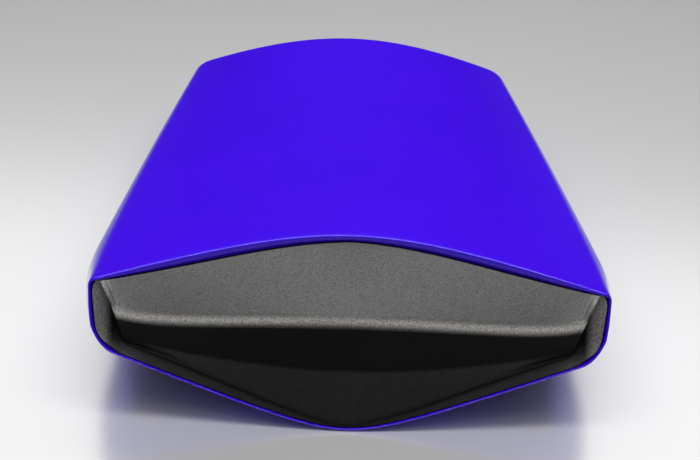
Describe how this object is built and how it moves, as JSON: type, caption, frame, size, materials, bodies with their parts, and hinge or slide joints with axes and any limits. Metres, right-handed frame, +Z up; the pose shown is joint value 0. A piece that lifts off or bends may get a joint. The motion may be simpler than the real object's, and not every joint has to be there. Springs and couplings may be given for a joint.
{
  "type": "seat cowl",
  "caption": "Gloss violet-blue motorcycle seat cowl that covers the pillion place, with a grained black front pad and latch fittings underneath",
  "frame": {"origin": "middle of the footprint, on the surface that the cowl stands on", "axes": "+X to the cowl's right seen from the front, +Y towards the tail, +Z up; the pad faces -Y"},
  "size_m": [0.299, 0.3383, 0.097],
  "materials": {
    "gloss_paint": "deep violet-blue solid paint under clear gloss lacquer",
    "grained_plastic": "black plastic with a fine moulded grain",
    "bright_steel": "satin pressed and bent steel",
    "zinc_steel": "bright zinc plate",
    "brass": "turned brass",
    "rubber": "matt black moulded rubber"
  },
  "bodies": {
    "root": {"cowl_shell": "gloss_paint", "front_pad": "grained_plastic", "pad_screws": "zinc_steel", "pad_washers": "zinc_steel", "striker_plate": "bright_steel", "striker_loop": "bright_steel", "striker_bolts": "zinc_steel", "striker_washers": "zinc_steel", "striker_inserts": "brass", "rear_tongue": "bright_steel", "tongue_bolts": "zinc_steel", "tongue_washers": "zinc_steel", "tongue_inserts": "brass", "damper_front_left": "rubber", "damper_front_right": "rubber", "damper_rear_left": "rubber", "damper_rear_right": "rubber"}
  },
  "joints": []
}
